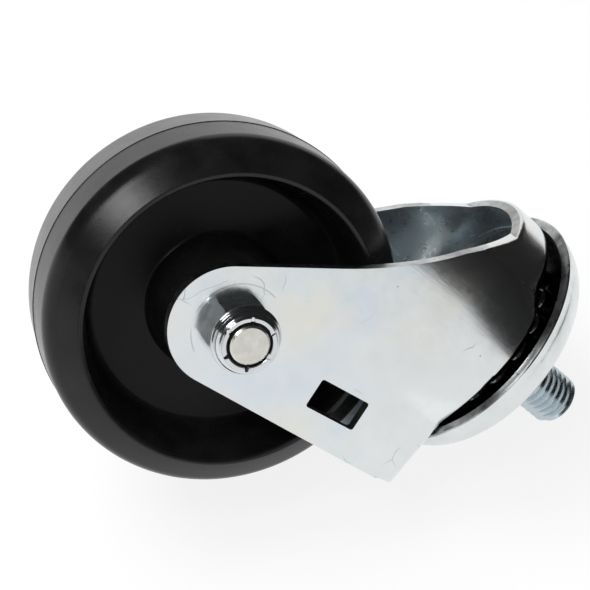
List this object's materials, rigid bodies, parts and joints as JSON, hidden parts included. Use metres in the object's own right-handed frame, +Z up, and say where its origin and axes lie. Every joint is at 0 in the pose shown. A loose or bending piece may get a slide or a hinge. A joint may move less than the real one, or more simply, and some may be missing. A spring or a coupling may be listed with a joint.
{
  "type": "swivel castor",
  "caption": "Swivel castor with a threaded stem, ball races under a round cap, a pressed fork with slotted legs and a moulded wheel on a bolted axle.",
  "frame": {"origin": "centre of the cap's flat top face, where the threaded stem leaves it", "axes": "+Z up the stem along the swivel axis, +X the way the wheel trails, Y along the axle with the nut on the -Y side"},
  "size_m": [0.0957, 0.0594, 0.1213],
  "materials": {
    "stem_zinc": "bright zinc plate, bluish",
    "cap_zinc": "bright zinc plate, smooth",
    "cup_zinc": "zinc plate, dull",
    "fork_zinc": "bright zinc plate with fine handling scratches",
    "bolt_zinc": "zinc plate, slightly cream",
    "nut_zinc": "bright zinc plate",
    "insert_nylon": "dark nylon",
    "sleeve_steel": "plain drawn steel",
    "wheel_moulding": "black moulding with a satin sheen",
    "ball_steel": "polished steel"
  },
  "bodies": {
    "mount": {"threaded_stem": "stem_zinc", "top_cap": "cap_zinc", "lower_race_cup": "cup_zinc"},
    "upper_balls": {"upper_ball_01": "ball_steel", "upper_ball_02": "ball_steel", "upper_ball_03": "ball_steel", "upper_ball_04": "ball_steel", "upper_ball_05": "ball_steel", "upper_ball_06": "ball_steel", "upper_ball_07": "ball_steel", "upper_ball_08": "ball_steel", "upper_ball_09": "ball_steel", "upper_ball_10": "ball_steel", "upper_ball_11": "ball_steel", "upper_ball_12": "ball_steel", "upper_ball_13": "ball_steel", "upper_ball_14": "ball_steel", "upper_ball_15": "ball_steel", "upper_ball_16": "ball_steel", "upper_ball_17": "ball_steel", "upper_ball_18": "ball_steel"},
    "lower_balls": {"lower_ball_01": "ball_steel", "lower_ball_02": "ball_steel", "lower_ball_03": "ball_steel", "lower_ball_04": "ball_steel", "lower_ball_05": "ball_steel", "lower_ball_06": "ball_steel", "lower_ball_07": "ball_steel", "lower_ball_08": "ball_steel", "lower_ball_09": "ball_steel", "lower_ball_10": "ball_steel", "lower_ball_11": "ball_steel", "lower_ball_12": "ball_steel", "lower_ball_13": "ball_steel"},
    "fork": {"fork": "fork_zinc", "axle_bolt": "bolt_zinc", "axle_nut": "nut_zinc", "nut_insert": "insert_nylon", "axle_sleeve": "sleeve_steel"},
    "wheel": {"wheel": "wheel_moulding"}
  },
  "joints": [
    {"name": "swivel", "type": "hinge", "parent": "mount", "child": "fork", "pos_m": [0, 0, 0], "axis": [0, 0, 1], "continuous": true},
    {"name": "upper_ball_orbit", "type": "hinge", "parent": "mount", "child": "upper_balls", "pos_m": [0, 0, -0.0057], "axis": [0, 0, 1], "continuous": true},
    {"name": "lower_ball_orbit", "type": "hinge", "parent": "mount", "child": "lower_balls", "pos_m": [0, 0, -0.01088], "axis": [0, 0, 1], "continuous": true},
    {"name": "wheel_spin", "type": "hinge", "parent": "fork", "child": "wheel", "pos_m": [0.0285, 0, -0.06015], "axis": [0, 1, 0], "continuous": true}
  ],
  "couplings": [
    {"joint": "upper_ball_orbit", "follows": "swivel", "ratio": 0.5},
    {"joint": "lower_ball_orbit", "follows": "swivel", "ratio": 0.5}
  ]
}
